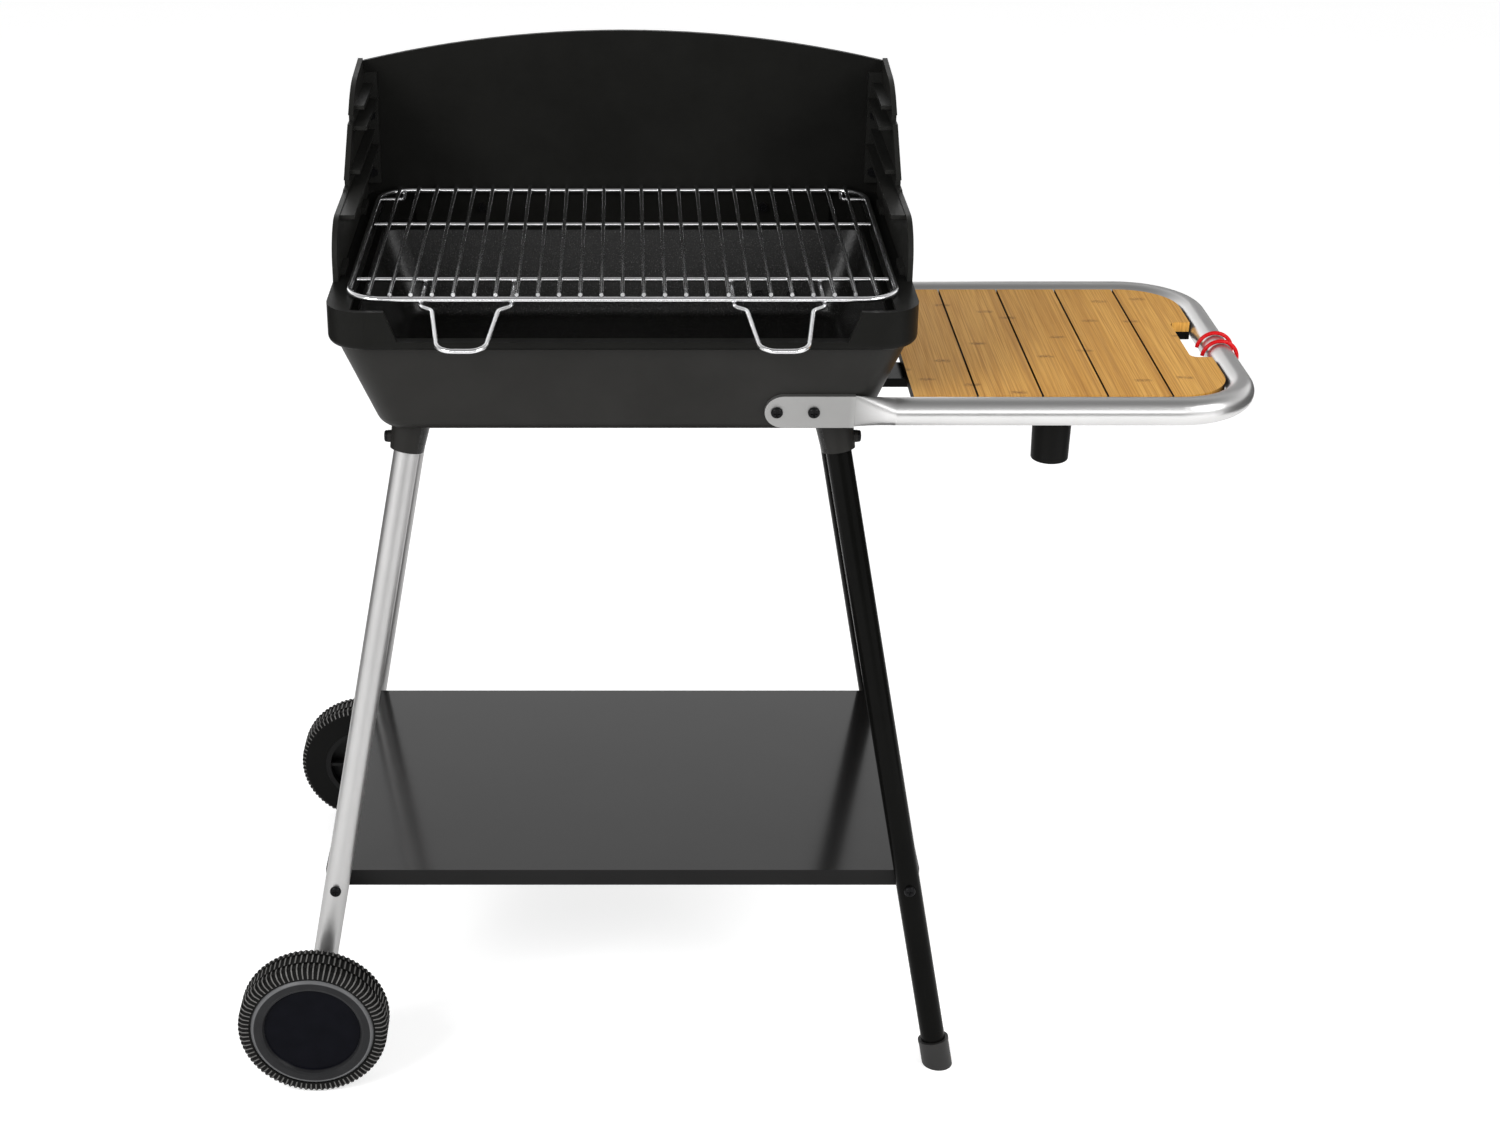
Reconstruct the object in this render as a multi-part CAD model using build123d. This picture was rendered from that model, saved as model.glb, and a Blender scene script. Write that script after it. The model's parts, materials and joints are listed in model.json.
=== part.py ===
from build123d import *
import math
import os

# Trolley charcoal grill: a cast tub and belt with a windshield, a wire grate that slides on the belt,
# four splayed tube legs with a shelf, two wheels on one axle, and a slatted side table in a bent tube.
# Sizes in millimetres. X runs to the side table, Y to the windshield's back wall, Z up from the floor.

# Clearances
RUNNING_CLEARANCE = 0.05
SEAT_CLEARANCE = 0.2
MOVING_CLEARANCE = 0.4
WELD_GAP = 0.05

# Legs: each axis starts inside the edge of the tub's floor and splays out to the ground
LEG_DIAMETER = 25.0
LEG_WALL = 1.5
LEG_INSET_X = 26.5
LEG_INSET_Y = 20.5
LEG_SPLAY_X = 124.0
LEG_SPLAY_Y = 93.0
LEG_BELOW_AXLE = 20.0

# Foot caps on the two legs without wheels
FOOT_WALL = 3.0
FOOT_FLOOR = 5.0
FOOT_HEIGHT = 28.0
FOOT_BEAD = 0.4
FOOT_BEAD_HEIGHT = 3.0

# Firebox: the tub stands FIREBOX_Y off the middle of the legs
FIREBOX_Y = -13.0
TUB_UNDERSIDE = 686.0
TUB_HEIGHT = 94.0
TUB_RIM_WIDTH = 539.0
TUB_RIM_DEPTH = 376.0
TUB_FLARE_X = 38.0
TUB_FLARE_Y = 23.5
TUB_RIM_RADIUS = 36.0
TUB_FLOOR_RADIUS = 30.0
TUB_WALL = 6.0
TUB_EDGE_RADIUS = 17.0
TUB_INNER_EDGE_RADIUS = 9.0

# Leg sockets cast under the tub
SOCKET_ROOF = 9.0
SOCKET_GRIP = 21.0
SOCKET_MOUTH_RADIUS = 16.5
SOCKET_ROOT_RADIUS = 20.5
SOCKET_ROOT_RISE = 20.0
SOCKET_BOSS_RADIUS = 6.0
SOCKET_BOSS_REACH = 20.5
SOCKET_SCREW_DROP = 8.0
SOCKET_SCREW_BITE = 2.0

# Belt that crowns the tub and carries the grate
BELT_OVERHANG_X = 5.5
BELT_OVERHANG_Y = 13.0
BELT_HEIGHT = 38.0
BELT_WALL = 6.0
BELT_RADIUS = 36.0
BELT_FLANGE = 6.0
BELT_FLANGE_WIDTH = 21.0
BELT_EDGE_RADIUS = 7.0
BELT_LIP_HEIGHT = 9.0
CUTOUT_BOTTOM_INSET = 67.0
CUTOUT_TOP_INSET = 55.5
LEDGE_WIDTH = 18.0
LEDGE_THICKNESS = 4.0
LUG_LENGTH = 14.0
LUG_WIDTH = 4.5
LUG_DROP = 7.0
LUG_SPACING = 280.0

# Windshield
BACK_THICKNESS = 5.0
BACK_CORNER_HEIGHT = 140.0
BACK_ARCH_RISE = 32.5
BACK_CORNER_RADIUS = 8.0
BACK_TONGUE_INSET = 55.0
BACK_BOLT_INSET = 125.0
BACK_BOLT_DROP = 16.0
WING_THICKNESS = 5.0
WING_FRONT_INSET = 90.0
WING_LOW_HEIGHT = 55.0
WING_NOSE_RADIUS = 38.0
WING_RAMP_START = 204.0
WING_RAMP_END = 308.0
WING_RAMP_TOP = 136.0
WING_REAR_HEIGHT = 144.0
WING_RAMP_RADIUS = 12.0
WING_TOP_RADIUS = 85.0
WING_FLANGE_WIDTH = 14.0
WING_FLANGE_THICKNESS = 5.0
WING_FLANGE_FOOT = 12.0
WING_FLANGE_DROP = 14.0
WING_BOLT_LOW = 24.0
WING_BOLT_HIGH = 85.0
RIB_THICKNESS = 4.0
RIB_LEDGE_WIDTH = 14.0
RIB_GUIDE_WIDTH = 10.0
RIB_CHANNEL = 12.0
RIB_INSET = 5.0
RIB_LOW_LEVEL = 54.0
RIB_HIGH_LEVEL = 103.0
SLOT_HEIGHT = 7.0
SLOT_LENGTH = 22.0
TAB_WIDTH = 30.0
TAB_THICKNESS = 4.0
TAB_DEPTH = 22.0
TAB_ROOT = 8.0
TAB_FRONT = 124.0
TAB_REAR = 324.0

# Cooking grate of welded wire
GRATE_SIDE_GAP = 13.0
GRATE_FRONT_GAP = 28.0
GRATE_CORNER_RADIUS = 34.0
FRAME_WIRE = 5.5
ROD_WIRE = 3.8
ROD_COUNT = 25
ROD_MARGIN = 20.8
CROSS_WIRE = 4.0
CROSS_GAP = 2.0
CROSS_FRONT = 57.0
CROSS_REAR = 234.0
GRATE_HANDLE_WIRE = 4.5
GRATE_HANDLE_INSET = 111.0
GRATE_HANDLE_BASE = 84.0
GRATE_HANDLE_NECK = 61.0
GRATE_HANDLE_TIP = 42.0
GRATE_HANDLE_TAIL = 6.0
GRATE_HANDLE_NECK_REACH = 17.0
GRATE_HANDLE_REACH = 90.0
GRATE_HANDLE_DROP = 13.0
GRATE_HANDLE_BEND = 10.0
GRATE_HANDLE_TIP_BEND = 16.0
STOP_WIRE = 4.0
STOP_INSET = 34.0
STOP_LENGTH = 25.0
STOP_RISE = 9.0

# Lower shelf, a folded sheet between the front and the rear legs
SHELF_TOP = 209.0
SHELF_OVERHANG = 14.3
SHELF_SKIRT = 18.0
SHELF_SHEET = 1.2
SHELF_CORNER_RADIUS = 3.0
SHELF_SCREW_DROP = 8.0

# Wheels on one through axle across the left legs
WHEEL_DIAMETER = 152.0
TYRE_WIDTH = 40.0
TYRE_BORE = 94.0
TYRE_SHOULDER = 5.0
TREAD_GROOVE_WIDTH = 2.0
TREAD_GROOVE_DEPTH = 2.0
TREAD_BAND = 13.0
CAP_SEAT_DIAMETER = 126.0
CAP_SEAT_DEPTH = 9.0
CAP_PROUD = 1.0
CAP_RING_WIDTH = 12.5
CAP_SHEET = 2.5
CAP_DISH = 5.0
AXLE_DIAMETER = 8.0
HUB_BOSS_RADIUS = 13.0
HUB_STANDOFF = 7.5
HUB_RIM_WALL = 6.0
HUB_WEB = 5.0
HUB_WEB_OFFSET = 14.0
HUB_RECESS = 4.0
HUB_RIB_COUNT = 6
HUB_RIB_WIDTH = 4.0
HUB_RIB_SETBACK = 3.0
WASHER_RADIUS = 9.0
WASHER_THICKNESS = 1.5
RETAINER_RADIUS = 8.0
RETAINER_HEIGHT = 5.0
RETAINER_ROOF = 1.5

# Side table: a bent tube with flattened ends, slats and two rails
TUBE_DIAMETER = 27.0
TUBE_WALL = 1.5
TUBE_RISE = 24.5
TABLE_LENGTH = 322.5
TUBE_BEND_RADIUS = 70.0
PLATE_THICKNESS = 4.0
PLATE_HEIGHT = 36.0
PLATE_INSET = 97.5
PLATE_LENGTH = 85.0
PLATE_BLEND = 38.0
PLATE_SCREW_EDGE = 11.5
PLATE_SCREW_PITCH = 35.0
SLAT_COUNT = 5
SLAT_GAP = 2.0
SLAT_THICKNESS = 10.0
BOARD_SETBACK = 1.0
BOARD_GAP = 1.2
BOARD_RISE = 10.0
NOTCH_LENGTH = 103.0
NOTCH_DEPTH = 21.0
NOTCH_RADIUS = 8.0
RAIL_WIDTH = 46.0
RAIL_HEIGHT = 9.0
RAIL_WALL = 1.5
RAIL_SPACING = 138.0
RAIL_SHIFT = 7.0
SLAT_SCREW_OFFSET = 24.0
SLAT_SCREW_BITE = 6.0

# Black post under the middle of the board
POST_TOP_DIAMETER = 40.0
POST_END_DIAMETER = 37.0
POST_LENGTH = 79.0
POST_OFFSET = 13.0
POST_SETBACK = 4.5
POST_WALL = 2.5
POST_HEAD = 8.0
POST_EDGE_RADIUS = 2.0

# Tool hooks of bent wire over the end of the side table
HOOK_WIRE = 4.0
HOOK_TOP_RADIUS = 17.5
HOOK_END_RADIUS = 11.0
HOOK_STEM = 13.0
HOOK_TIP_TURN = 8.0
HOOK_OVER_TURN = 38.0
HOOK_END_TURN = 235.0
HOOK_FRONT_OFFSET = 22.0
HOOK_REAR_OFFSET = -2.5

# Fasteners, named by their shank diameter
LARGE_SCREW = 6.0
SMALL_SCREW = 5.0
WOOD_SCREW = 4.0
HEAD_RATIO = 1.9
HEAD_HEIGHT_RATIO = 0.55
NUT_RATIO = 1.7
NUT_HEIGHT_RATIO = 0.8
RECESS_WIDTH_RATIO = 0.2
RECESS_LENGTH_RATIO = 1.1
RECESS_DEPTH_RATIO = 0.3

# Heights and places that follow from the sizes above
TUB_FLOOR_WIDTH = TUB_RIM_WIDTH - 2 * TUB_FLARE_X
TUB_FLOOR_DEPTH = TUB_RIM_DEPTH - 2 * TUB_FLARE_Y
BELT_WIDTH = TUB_RIM_WIDTH + 2 * BELT_OVERHANG_X
BELT_DEPTH = TUB_RIM_DEPTH + 2 * BELT_OVERHANG_Y
LEG_RADIUS = LEG_DIAMETER / 2
LEG_HEAD_Z = TUB_UNDERSIDE - SOCKET_ROOF
LEG_HEAD_X = TUB_FLOOR_WIDTH / 2 - LEG_INSET_X
LEG_HEAD_Y = TUB_FLOOR_DEPTH / 2 - LEG_INSET_Y
LEG_FOOT_X = LEG_HEAD_X + LEG_SPLAY_X
LEG_FOOT_Y = LEG_HEAD_Y + LEG_SPLAY_Y
LEAN_X = (LEG_FOOT_X - LEG_HEAD_X) / LEG_HEAD_Z
LEAN_Y = (LEG_FOOT_Y - LEG_HEAD_Y) / LEG_HEAD_Z
LEG_STRETCH = math.sqrt(1 + LEAN_X ** 2 + LEAN_Y ** 2)
LEG_TILT_SINE = math.hypot(LEAN_X, LEAN_Y) / LEG_STRETCH
LEG_REACH_Y = LEG_RADIUS * math.sqrt(1 + LEAN_Y ** 2)
WHEEL_RADIUS = WHEEL_DIAMETER / 2
AXLE_RADIUS = AXLE_DIAMETER / 2
AXLE_X = LEG_FOOT_X - LEAN_X * WHEEL_RADIUS
AXLE_LEG_Y = LEG_FOOT_Y - LEAN_Y * WHEEL_RADIUS
WASHER_Y = AXLE_LEG_Y + LEG_REACH_Y + WASHER_RADIUS * LEAN_Y + MOVING_CLEARANCE
WHEEL_Y = WASHER_Y + WASHER_THICKNESS + MOVING_CLEARANCE + HUB_STANDOFF
HUB_END = TYRE_WIDTH - CAP_SEAT_DEPTH - HUB_RECESS
RETAINER_START = HUB_END + MOVING_CLEARANCE
TUB_RIM_Z = TUB_UNDERSIDE + TUB_HEIGHT
TUB_SLOPE_X = TUB_FLARE_X / TUB_HEIGHT
TUB_SLOPE_Y = TUB_FLARE_Y / TUB_HEIGHT
BELT_TOP = TUB_RIM_Z + BELT_HEIGHT
BELT_FRONT = FIREBOX_Y - BELT_DEPTH / 2
BELT_INNER_X = BELT_WIDTH / 2 - BELT_WALL
BELT_INNER_REAR = FIREBOX_Y + BELT_DEPTH / 2 - BELT_WALL
BACK_FRONT = BELT_INNER_REAR - BACK_THICKNESS
BACK_BOLT_Z = BELT_TOP - BACK_BOLT_DROP
WING_INNER_X = BELT_WIDTH / 2 - WING_THICKNESS
WING_BOLT_X = WING_INNER_X - WING_FLANGE_WIDTH / 2
TAB_OUTER_X = BELT_INNER_X - SEAT_CLEARANCE
TAB_BOLT_Z = BELT_TOP - TAB_DEPTH * 0.65
GRATE_Z = BELT_TOP + MOVING_CLEARANCE + FRAME_WIRE / 2
GRATE_FRONT = BELT_FRONT + GRATE_FRONT_GAP
GRATE_REAR = BACK_FRONT - FRAME_WIRE / 2 - MOVING_CLEARANCE
GRATE_DEPTH = GRATE_REAR - GRATE_FRONT
GRATE_WIDTH = 2 * (BELT_INNER_X - GRATE_SIDE_GAP)
ROD_PITCH = (GRATE_WIDTH - 2 * ROD_MARGIN) / (ROD_COUNT - 1)
ROD_Z = GRATE_Z + (FRAME_WIRE + ROD_WIRE) / 2 + WELD_GAP
CROSS_Z = ROD_Z - (ROD_WIRE + CROSS_WIRE) / 2 - WELD_GAP
GRATE_HANDLE_Z = GRATE_Z - (FRAME_WIRE + GRATE_HANDLE_WIRE) / 2 - WELD_GAP
SHELF_WIDTH = 2 * (LEG_FOOT_X - LEAN_X * SHELF_TOP + SHELF_OVERHANG)
SHELF_DEPTH = 2 * (LEG_FOOT_Y - LEAN_Y * SHELF_TOP - LEG_REACH_Y - SEAT_CLEARANCE)
SHELF_SCREW_Z = SHELF_TOP - SHELF_SCREW_DROP
TUBE_RADIUS = TUBE_DIAMETER / 2
TUBE_HEIGHT = TUB_UNDERSIDE + TUBE_RISE
TUBE_REACH = BELT_WIDTH / 2 + TABLE_LENGTH
PLATE_START = TUB_FLOOR_WIDTH / 2 - PLATE_INSET
PLATE_END = PLATE_START + PLATE_LENGTH
WALL_NORMAL_LENGTH = math.hypot(1, TUB_SLOPE_Y)
PLATE_MID_Z = TUBE_HEIGHT + PLATE_THICKNESS / 2 * TUB_SLOPE_Y / WALL_NORMAL_LENGTH
PLATE_WALL_HALF = TUB_FLOOR_DEPTH / 2 + TUB_SLOPE_Y * (PLATE_MID_Z - TUB_UNDERSIDE)
TUBE_HALF_SPAN = PLATE_WALL_HALF + PLATE_THICKNESS / 2 / WALL_NORMAL_LENGTH
TUBE_START = PLATE_END + PLATE_BLEND
BOARD_START = BELT_WIDTH / 2 + BOARD_SETBACK
BOARD_TOP = TUBE_HEIGHT + BOARD_RISE
BOARD_UNDERSIDE = BOARD_TOP - SLAT_THICKNESS
BOARD_END = TUBE_REACH - TUBE_RADIUS - BOARD_GAP
BOARD_HALF = TUBE_HALF_SPAN - TUBE_RADIUS - BOARD_GAP
BOARD_CORNER_RADIUS = TUBE_BEND_RADIUS - TUBE_RADIUS - BOARD_GAP
SLAT_PITCH = (BOARD_END - BOARD_START + SLAT_GAP) / SLAT_COUNT
RAIL_UNDERSIDE = BOARD_UNDERSIDE - RAIL_HEIGHT
RAIL_START = TUB_FLOOR_WIDTH / 2 + TUB_SLOPE_X * (BOARD_UNDERSIDE - TUB_UNDERSIDE) + SEAT_CLEARANCE
RAIL_END = TUBE_REACH - TUBE_RADIUS - WELD_GAP
POST_X = (BOARD_START + BOARD_END) / 2 - POST_SETBACK
RAIL_MIDDLE = FIREBOX_Y + RAIL_SHIFT
POST_Y = RAIL_MIDDLE - RAIL_SPACING / 2 - POST_OFFSET
HOOK_PIVOT_RADIUS = TUBE_RADIUS + MOVING_CLEARANCE + HOOK_WIRE / 2

DOWNWARD = Vector(0, 0, -1)
UPWARD = Vector(0, 0, 1)
BOTTOM = (Align.CENTER, Align.CENTER, Align.MIN)
parts = {}


def leg_at(z, side, end):
    """Point on a leg's axis: side is -1 left or 1 right, end is -1 front or 1 rear."""
    return Vector(side * (LEG_FOOT_X - LEAN_X * z), end * (LEG_FOOT_Y - LEAN_Y * z), z)


def leg_bar(radius, side, end, low, high, top_radius=None):
    """Round bar, or cone, about a leg's axis between two heights."""
    start = leg_at(low, side, end)
    reach = leg_at(high, side, end) - start
    if top_radius is None:
        bar = Cylinder(radius, reach.length, align=BOTTOM)
    else:
        bar = Cone(radius, top_radius, reach.length, align=BOTTOM)
    return Plane(start, z_dir=reach) * bar


def rod(start, end, radius):
    """Straight round bar between two points."""
    start = Vector(*start)
    reach = Vector(*end) - start
    return Plane(start, z_dir=reach) * Cylinder(radius, reach.length, align=BOTTOM)


def wire(path, diameter):
    """Round wire along a path."""
    return sweep(Plane(path @ 0, z_dir=path % 0) * Circle(diameter / 2), path=path)


def span_box(low, high):
    """Box between two opposite corners."""
    size = [high[i] - low[i] for i in range(3)]
    middle = [(high[i] + low[i]) / 2 for i in range(3)]
    return Pos(*middle) * Box(*size)


def seat(point, outward):
    """Plane of a fastener's seat, with its Z axis out of the surface."""
    return Plane(Vector(*point), z_dir=Vector(*outward))


def hole(place, size, depth):
    """Clearance hole for a fastener whose head is on a seat."""
    radius = size / 2 + SEAT_CLEARANCE
    return place * Pos(0, 0, -depth / 2) * Cylinder(radius, depth + size)


def screw(place, size, length):
    """Pan head screw with a cross recess: its head is on the seat, its shank goes in."""
    head_radius = size * HEAD_RATIO / 2
    head_height = size * HEAD_HEIGHT_RATIO
    head = Cylinder(head_radius, head_height, align=BOTTOM)
    head = fillet(head.edges().group_by(Axis.Z)[-1], head_height * 0.6)
    depth = size * RECESS_DEPTH_RATIO
    for turn in (0, 90):
        bar = Box(size * RECESS_LENGTH_RATIO, size * RECESS_WIDTH_RATIO, 2 * depth)
        head -= Pos(0, 0, head_height) * Rot(0, 0, turn) * bar
    shank = Pos(0, 0, -length) * Cylinder(size / 2, length, align=BOTTOM)
    return place * (head + shank)


def nut(place, size):
    """Hexagon nut that stands on a seat."""
    body = extrude(RegularPolygon(size * NUT_RATIO / 2, 6, major_radius=False), size * NUT_HEIGHT_RATIO)
    return place * (body - Cylinder(size / 2 + RUNNING_CLEARANCE, 4 * size))


def ring_of(profile):
    """Solid of revolution about Z from points of (radius, height)."""
    return revolve(Plane.XZ * make_face(Polyline(*profile, close=True)), Axis.Z)


def tub_loft(inset, low, radius_inset):
    """Tapered tub shape, drawn in by a wall, from a height to the rim."""
    rise = low - TUB_UNDERSIDE
    sections = []
    for z, width, depth, radius in (
        (low, TUB_FLOOR_WIDTH + 2 * TUB_SLOPE_X * rise, TUB_FLOOR_DEPTH + 2 * TUB_SLOPE_Y * rise, TUB_FLOOR_RADIUS),
        (TUB_RIM_Z, TUB_RIM_WIDTH, TUB_RIM_DEPTH, TUB_RIM_RADIUS),
    ):
        outline = RectangleRounded(width - 2 * inset, depth - 2 * inset, radius - radius_inset)
        sections.append(Pos(0, FIREBOX_Y, z) * outline)
    return loft(sections, ruled=True)


def wall_seat(x, end):
    """Seat on the tub's sloped front or rear wall at the flattened tube's middle height."""
    point = (x, FIREBOX_Y + end * PLATE_WALL_HALF, PLATE_MID_Z)
    return Plane(Vector(*point), x_dir=(1, 0, 0), z_dir=(0, end, -TUB_SLOPE_Y))


def plate_screw_places():
    """X of the two screws in each flattened end of the side table's tube."""
    first = PLATE_START + PLATE_SCREW_EDGE
    return first, first + PLATE_SCREW_PITCH


def socket_screw_seat(side, end):
    """Seat of the screw that grips a leg from the outer side of its socket."""
    middle = leg_at(LEG_HEAD_Z - SOCKET_SCREW_DROP, side, end)
    return seat((middle.X + side * SOCKET_BOSS_REACH, middle.Y, middle.Z), (side, 0, 0))


def back_bolt_seats():
    """Seats, on the belt's rear face, of the bolts through the back wall's tongue."""
    rear = FIREBOX_Y + BELT_DEPTH / 2
    return [seat((side * (BELT_WIDTH / 2 - BACK_BOLT_INSET), rear, BACK_BOLT_Z), (0, 1, 0)) for side in (-1, 1)]


def wing_bolt_seats():
    """Seats, on the back wall's rear face, of the bolts into the wings' flanges."""
    places = []
    for side in (-1, 1):
        for rise in (WING_BOLT_LOW, WING_BOLT_HIGH):
            places.append(seat((side * WING_BOLT_X, BELT_INNER_REAR, BELT_TOP + rise), (0, 1, 0)))
    return places


def tab_bolt_seats(side):
    """Seats, on the belt's side face, of the bolts into a wing's tabs."""
    return [seat((side * BELT_WIDTH / 2, BELT_FRONT + y, TAB_BOLT_Z), (side, 0, 0)) for y in (TAB_FRONT, TAB_REAR)]


def firebox_tub():
    """Cast tub with tapered walls, rounded edges and four leg sockets."""
    floor_edge = lambda shape: shape.faces().sort_by(Axis.Z)[0].edges()
    outer = tub_loft(0, TUB_UNDERSIDE, 0)
    outer = fillet(floor_edge(outer), TUB_EDGE_RADIUS)
    inner = tub_loft(TUB_WALL, TUB_UNDERSIDE + TUB_WALL, TUB_WALL)
    inner = fillet(floor_edge(inner), TUB_INNER_EDGE_RADIUS)
    mouth = LEG_HEAD_Z - SOCKET_GRIP
    root = TUB_UNDERSIDE + SOCKET_ROOT_RISE
    trim = PLATE_HEIGHT + 4 * SEAT_CLEARANCE
    for side in (-1, 1):
        for end in (-1, 1):
            socket = leg_bar(SOCKET_MOUTH_RADIUS, side, end, mouth, root, SOCKET_ROOT_RADIUS)
            beside_plate = Box(TUBE_START - PLATE_START, trim, trim, align=(Align.MIN, Align.CENTER, Align.CENTER))
            outer += socket - wall_seat(PLATE_START - SEAT_CLEARANCE, end) * beside_plate
            place = socket_screw_seat(side, end)
            outer += place * Pos(0, 0, -LEG_RADIUS) * Cylinder(SOCKET_BOSS_RADIUS, LEG_RADIUS, align=BOTTOM)
    tub = outer - inner
    for side in (-1, 1):
        for end in (-1, 1):
            tub -= leg_bar(LEG_RADIUS + SEAT_CLEARANCE, side, end, mouth - SOCKET_GRIP, LEG_HEAD_Z + SEAT_CLEARANCE)
            tub -= hole(socket_screw_seat(side, end), LARGE_SCREW, SOCKET_BOSS_REACH)
    for end in (-1, 1):
        for x in plate_screw_places():
            tub -= hole(wall_seat(x, end), LARGE_SCREW, 2 * TUB_WALL)
    return tub


def firebox_belt():
    """Belt on the tub's rim: band, inward flange, grate ledges, front cut-out and side lugs."""
    base = Pos(0, FIREBOX_Y, TUB_RIM_Z)
    belt = extrude(RectangleRounded(BELT_WIDTH, BELT_DEPTH, BELT_RADIUS), BELT_HEIGHT)
    belt = fillet(belt.edges().group_by(Axis.Z)[0], BELT_EDGE_RADIUS)
    inside = RectangleRounded(BELT_WIDTH - 2 * BELT_WALL, BELT_DEPTH - 2 * BELT_WALL, BELT_RADIUS - BELT_WALL)
    belt -= Pos(0, 0, BELT_FLANGE) * extrude(inside, BELT_HEIGHT)
    mouth_width = BELT_WIDTH - 2 * BELT_FLANGE_WIDTH
    mouth_depth = BELT_DEPTH - 2 * BELT_FLANGE_WIDTH
    belt -= extrude(RectangleRounded(mouth_width, mouth_depth, BELT_RADIUS - BELT_FLANGE_WIDTH), BELT_FLANGE)
    belt = base * belt
    outline = base * extrude(RectangleRounded(BELT_WIDTH, BELT_DEPTH, BELT_RADIUS), BELT_HEIGHT)
    half = BELT_WIDTH / 2
    lip = TUB_RIM_Z + BELT_LIP_HEIGHT
    cut = make_face(Polyline(
        (CUTOUT_BOTTOM_INSET - half, lip),
        (half - CUTOUT_BOTTOM_INSET, lip),
        (half - CUTOUT_TOP_INSET, BELT_TOP),
        (CUTOUT_TOP_INSET - half, BELT_TOP),
        close=True,
    ))
    belt -= Pos(0, BELT_FRONT, 0) * extrude(Plane.XZ * cut, BELT_WALL, both=True)
    for side in (-1, 1):
        ledge = span_box(
            (BELT_INNER_X - LEDGE_WIDTH, BELT_FRONT + BELT_WALL, BELT_TOP - LEDGE_THICKNESS),
            (BELT_INNER_X + BELT_WALL / 2, BACK_FRONT, BELT_TOP),
        )
        ledge &= outline
        for y in (TAB_FRONT, TAB_REAR):
            ledge -= Pos(TAB_OUTER_X - TAB_THICKNESS / 2, BELT_FRONT + y, BELT_TOP) * Box(
                TAB_THICKNESS + 2 * SEAT_CLEARANCE, TAB_WIDTH + 2 * SEAT_CLEARANCE, 3 * LEDGE_THICKNESS)
        belt += ledge if side > 0 else mirror(ledge, about=Plane.YZ)
        lug_inner = TUB_RIM_WIDTH / 2 + SEAT_CLEARANCE
        for end in (-1, 1):
            lug = Pos(side * (lug_inner + LUG_WIDTH / 2), FIREBOX_Y + end * LUG_SPACING / 2, TUB_RIM_Z)
            belt += lug * Box(LUG_WIDTH, LUG_LENGTH, 2 * LUG_DROP)
        for place in tab_bolt_seats(side):
            belt -= hole(place, SMALL_SCREW, BELT_WALL)
    for place in back_bolt_seats():
        belt -= hole(place, SMALL_SCREW, BELT_WALL)
    return belt


def windshield_back():
    """Back wall with an arched top and a tongue that stands inside the belt."""
    half = BELT_WIDTH / 2
    tongue = half - BACK_TONGUE_INSET
    corner = BELT_TOP + BACK_CORNER_HEIGHT
    foot = TUB_RIM_Z + BELT_FLANGE
    outline = Polyline(
        (-half, corner), (-half, BELT_TOP), (-tongue, BELT_TOP), (-tongue, foot),
        (tongue, foot), (tongue, BELT_TOP), (half, BELT_TOP), (half, corner),
    ) + ThreePointArc((half, corner), (0, corner + BACK_ARCH_RISE), (-half, corner))
    face = make_face(outline)
    top_corners = [v for v in face.vertices() if abs(v.Y - corner) < SEAT_CLEARANCE]
    face = fillet(top_corners, BACK_CORNER_RADIUS)
    wall = Pos(0, BELT_INNER_REAR, 0) * extrude(Plane.XZ * face, BACK_THICKNESS)
    for place in wing_bolt_seats() + back_bolt_seats():
        wall -= hole(place, SMALL_SCREW, BELT_WALL + BACK_THICKNESS)
    return wall


def ramp_edge(level):
    """Y of the wing's sloped front edge at a height above the belt."""
    share = (level - WING_LOW_HEIGHT) / (WING_RAMP_TOP - WING_LOW_HEIGHT)
    return BELT_FRONT + WING_RAMP_START + share * (WING_RAMP_END - WING_RAMP_START)


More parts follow.
